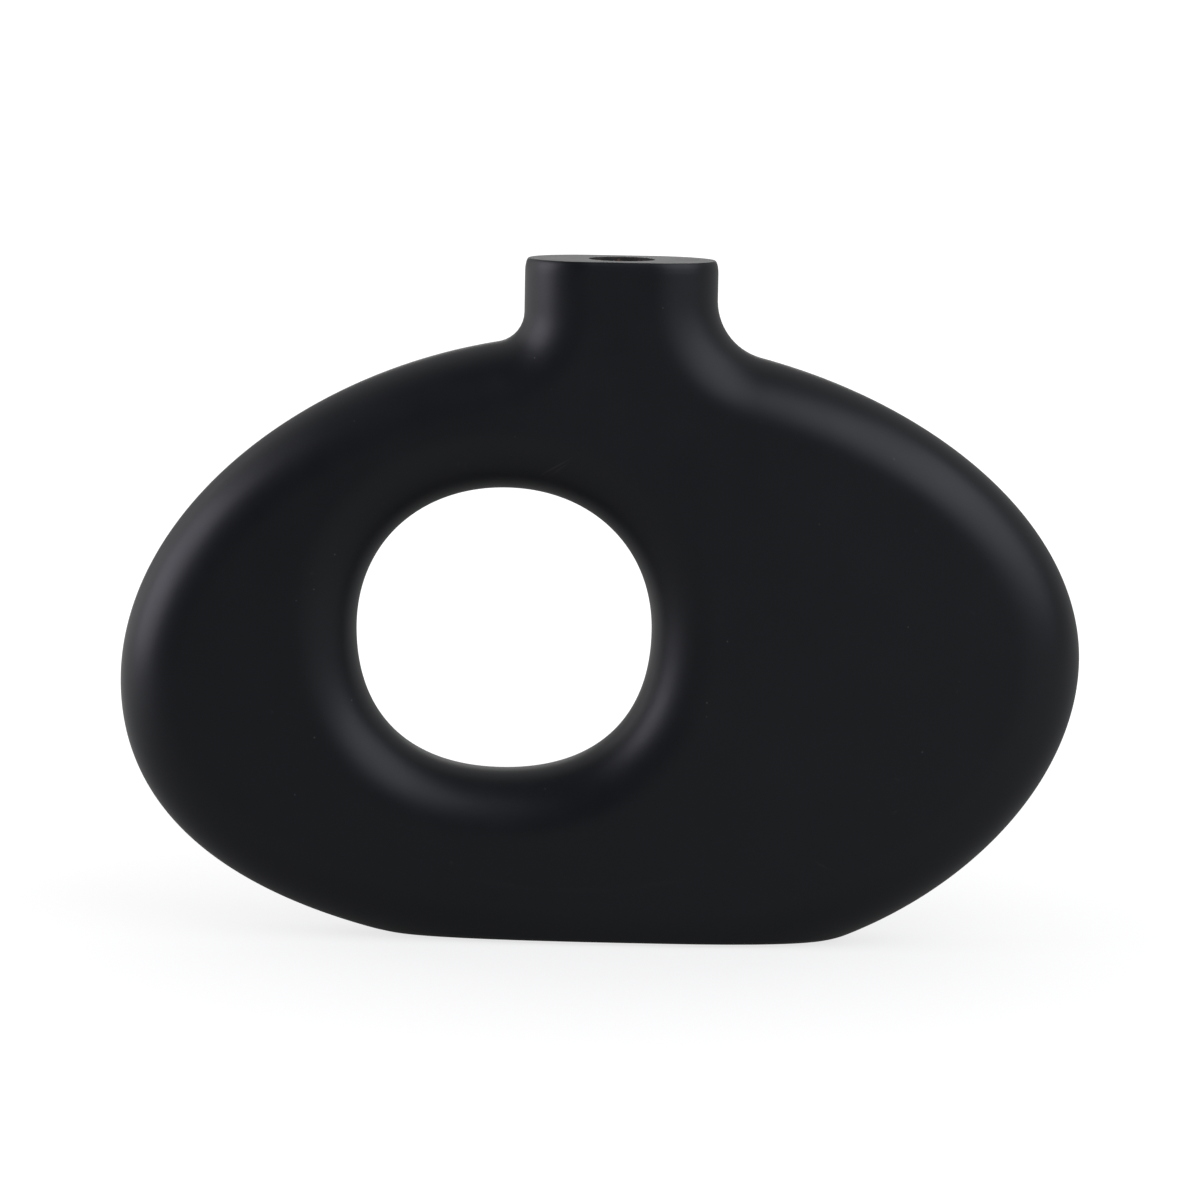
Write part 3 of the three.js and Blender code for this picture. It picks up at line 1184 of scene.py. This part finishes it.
    def cutters(self) -> bpy.types.Object:
        """Make the bore and the dowel holes as shapes to cut away.

        Returns:
            One object with all of them.
        """
        radius = self.bore_diameter / 2
        floor = self.opening_top + self.bore_floor
        end = self.top + self.overrun
        profile = arc(Vector((0.0, floor + radius)), radius, -math.pi / 2, 0.0, self.bore_end_steps)
        profile[0].x = 0.0
        profile += [
            Vector((radius, self.top - self.bore_mouth)),
            Vector((radius + self.bore_mouth + self.overrun, end)),
            Vector((0.0, end)),
        ]
        mesh = bmesh.new()
        turned(mesh, profile, self.neck_shift, self.bore_steps)
        bored = set(mesh.faces)
        for place in DowelPlace:
            Dowels().shape(mesh, place, self.dowel_room, fluted=False)
        for face in set(mesh.faces) - bored:
            face.material_index = 1
        return made_object("bore_and_dowel_holes", mesh, BORE_WOOD, BARE_WOOD)

    def build(self, board: Board, cutters: bpy.types.Object) -> None:
        """Make one board, bore it and finish it.

        Args:
            board: Which of the two.
            cutters: What is cut out of it.
        """
        piece = made_object(f"{board.name.lower()}_board", self.slab(board), LACQUER, BARE_WOOD)
        bore = piece.modifiers.new("bore", "BOOLEAN")
        bore.operation = "DIFFERENCE"
        bore.solver = "EXACT"
        bore.object = cutters
        bore.material_mode = "TRANSFER"
        whole = piece.data
        graph = bpy.context.evaluated_depsgraph_get()
        piece.data = bpy.data.meshes.new_from_object(piece.evaluated_get(graph))
        piece.data.name = piece.name
        piece.modifiers.clear()
        bpy.data.meshes.remove(whole)
        hand_over(piece, self.crease, Body.VASE, board.node)

    def build_all(self) -> None:
        """Make both boards, and clear the cutters away."""
        cutters = self.cutters()
        for board in Board:
            self.build(board, cutters)
        holes = cutters.data
        bpy.data.objects.remove(cutters)
        bpy.data.meshes.remove(holes)


@dataclass
class WaterTube:
    """The loose glass tube: a round-bottomed wall with a fire-polished rim."""

    node: str = "glass_tube"
    wall: float = 1.2 * MM
    end_steps: int = 24
    rim_steps: int = 10
    steps: int = 96
    crease: float = math.radians(60.0)

    def build(self) -> None:
        """Turn the tube from its profile."""
        low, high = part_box(self.node)
        outer = (high.x - low.x) / 2
        inner = outer - self.wall
        middle = Vector((0.0, low.z + outer))
        rim = Vector((outer - self.wall / 2, high.z - self.wall / 2))
        outside = arc(middle, outer, -math.pi / 2, 0.0, self.end_steps)
        inside = arc(middle, inner, 0.0, -math.pi / 2, self.end_steps)
        outside[0].x = 0.0
        inside[-1].x = 0.0
        profile = outside + arc(rim, self.wall / 2, 0.0, math.pi, self.rim_steps) + inside
        mesh = bmesh.new()
        turned(mesh, profile, (low.x + high.x) / 2, self.steps)
        piece = made_object("round_bottomed_water_tube", mesh, GLASS)
        hand_over(piece, self.crease, Body.TUBE, self.node)


@dataclass
class FeltPads:
    """The four punched felt discs that the vase stands on."""

    sides: int = 48
    edge_ease: float = 0.18 * MM
    edge_segments: int = 3
    rings: int = 5
    fuzz: float = 0.06 * MM
    fuzz_scale: float = 1700.0
    crease: float = math.radians(70.0)

    def build_all(self) -> None:
        """Make every pad."""
        for place in PadPlace:
            self.build(place)

    def build(self, place: PadPlace) -> None:
        """Punch one disc, soften its edges and roughen its rim.

        Args:
            place: Which pad.
        """
        low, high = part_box(place.value)
        radius = (high.x - low.x) / 2
        ease = self.edge_ease
        mesh = bmesh.new()
        bmesh.ops.create_cone(
            mesh, segments=self.sides, radius1=radius, radius2=radius, depth=high.z - low.z, cap_ends=True
        )
        rims = [edge for edge in mesh.edges if abs(edge.verts[0].co.z - edge.verts[1].co.z) < ease]
        bmesh.ops.bevel(
            mesh, geom=rims, offset=ease, affect="EDGES", segments=self.edge_segments, profile=0.5,
            material=-1,
        )
        caps = [face for face in mesh.faces if len(face.verts) == self.sides]
        step = radius / (self.rings + 1)
        for _ in range(self.rings):
            bmesh.ops.inset_region(mesh, faces=caps, thickness=step, use_even_offset=True)
        bmesh.ops.translate(mesh, verts=mesh.verts, vec=(low + high) / 2)
        mesh.normal_update()
        for vert in mesh.verts:
            pull = (noise.noise(vert.co * self.fuzz_scale) - 1.0) / 2
            vert.co += self.fuzz * pull * Vector((vert.normal.x, vert.normal.y, 0.0))
        piece = made_object(f"punched_{place.value}", mesh, FELT)
        hand_over(piece, self.crease, Body.VASE, place.value)


@dataclass(frozen=True)
class Softbox:
    """A soft lamp that shines at the middle of the vase.

    Its azimuth, from the front to the right, and its elevation are in degrees.
    """

    name: str
    azimuth: float
    elevation: float
    distance: float
    width: float
    height: float
    brightness: float
    colour: Colour = WHITE

    def build(self, target: Vector) -> None:
        """Hang the lamp, out of the camera's sight.

        Args:
            target: Where it points.
        """
        lamp = bpy.data.lights.new(self.name, "AREA")
        lamp.shape = "RECTANGLE"
        lamp.size = self.width
        lamp.size_y = self.height
        lamp.color = self.colour
        lamp.energy = self.brightness * math.pi * self.width * self.height
        holder = bpy.data.objects.new(self.name, lamp)
        turn = math.radians(self.azimuth)
        rise = math.radians(self.elevation)
        away = Vector((
            math.sin(turn) * math.cos(rise),
            -math.cos(turn) * math.cos(rise),
            math.sin(rise),
        ))
        holder.location = target + self.distance * away
        holder.rotation_euler = away.to_track_quat("Z", "Y").to_euler()
        holder.visible_camera = False
        bpy.context.scene.collection.objects.link(holder)


@dataclass
class Studio:
    """A white floor and surround, soft lamps, and the camera in the photograph's place."""

    target: Vector = Vector((-0.289 * MM, 0.0, 107.22 * MM))
    distance: float = 1595.6 * MM
    elevation: float = math.radians(7.63)
    roll: float = math.radians(1.05)
    sensor: float = 36.0
    lens: float = 153.04
    floor_radius: float = 60.0
    floor_sides: int = 96
    surround: float = 0.8
    backdrop_gloss: float = 0.45
    backdrop_span: Span = (-0.35, 0.35)
    lamps: tuple[Softbox, ...] = (
        Softbox("left_softbox", -77.0, 16.5, 1.2, 0.78, 0.76, 3.42, (0.96, 0.95, 1.09)),
        Softbox("right_softbox", 46.4, 34.5, 1.2, 1.30, 1.05, 1.96, (0.93, 0.98, 1.09)),
        Softbox("rear_left_softbox", -113.5, 18.0, 1.2, 0.68, 0.83, 0.68, (1.0, 0.98, 1.02)),
        Softbox("rear_strip", 180.0, 16.0, 1.2, 0.60, 0.25, 1.05),
    )

    def build_floor(self) -> None:
        """Lay the pale floor, which keeps the vase's real soft shadow, with a painted shadow round the
        vase as well.
        """
        mesh = bmesh.new()
        bmesh.ops.create_circle(mesh, segments=self.floor_sides, radius=self.floor_radius, cap_ends=True)
        made_object("studio_floor", mesh, PAPER)

    def build_surround(self) -> None:
        """Make the world white to look at, partly so in the gloss behind the vase, and dim as a light."""
        world = bpy.data.worlds.new("white_surround")
        world.use_nodes = True
        sheet = NodeSheet(world.node_tree)
        way = sheet.add("SeparateXYZ", Vector=sheet.add("TexCoord").outputs["Generated"]).outputs["Y"]
        behind = sheet.remap(way, self.backdrop_span, (0.0, self.backdrop_gloss))
        dull = sheet.maths("MULTIPLY", sheet.add("LightPath").outputs["Is Diffuse Ray"], self.surround)
        dim = world.node_tree.nodes["Background"]
        sheet.join(dim, Color=WHITE, Strength=dull)
        white = sheet.add("Background", Color=WHITE, Strength=1.0)
        seen = sheet.white_to_view(behind)
        shown = sheet.add("MixShader", None, seen, dim.outputs[0], white.outputs[0])
        sheet.join(world.node_tree.nodes["World Output"], Surface=shown.outputs[0])
        bpy.context.scene.world = world

    def build_camera(self) -> None:
        """Stand the camera where the photograph was taken from."""
        data = bpy.data.cameras.new("photo_camera")
        data.sensor_width = self.sensor
        data.lens = self.lens
        data.clip_end = 2 * self.floor_radius
        camera = bpy.data.objects.new("photo_camera", data)
        back = Vector((0.0, -math.cos(self.elevation), math.sin(self.elevation)))
        place = Matrix.Translation(self.target + self.distance * back)
        tilt = Matrix.Rotation(math.pi / 2 - self.elevation, 4, "X")
        camera.matrix_world = place @ tilt @ Matrix.Rotation(self.roll, 4, "Z")
        bpy.context.scene.collection.objects.link(camera)
        bpy.context.scene.camera = camera

    def build(self) -> None:
        """Set the whole studio up."""
        self.build_floor()
        self.build_surround()
        self.build_camera()
        for lamp in self.lamps:
            lamp.build(self.target)
        bpy.context.scene.view_settings.view_transform = "Standard"
        log.info("studio: %d lamps", len(self.lamps))


def main() -> None:
    """Build the vase piece by piece, then the studio around it."""
    logging.basicConfig(level=logging.INFO, format="%(name)s: %(message)s")
    WoodenBody().build_all()
    Dowels().build_all()
    WaterTube().build()
    FeltPads().build_all()
    Studio().build()


if __name__ == "__main__":
    main()
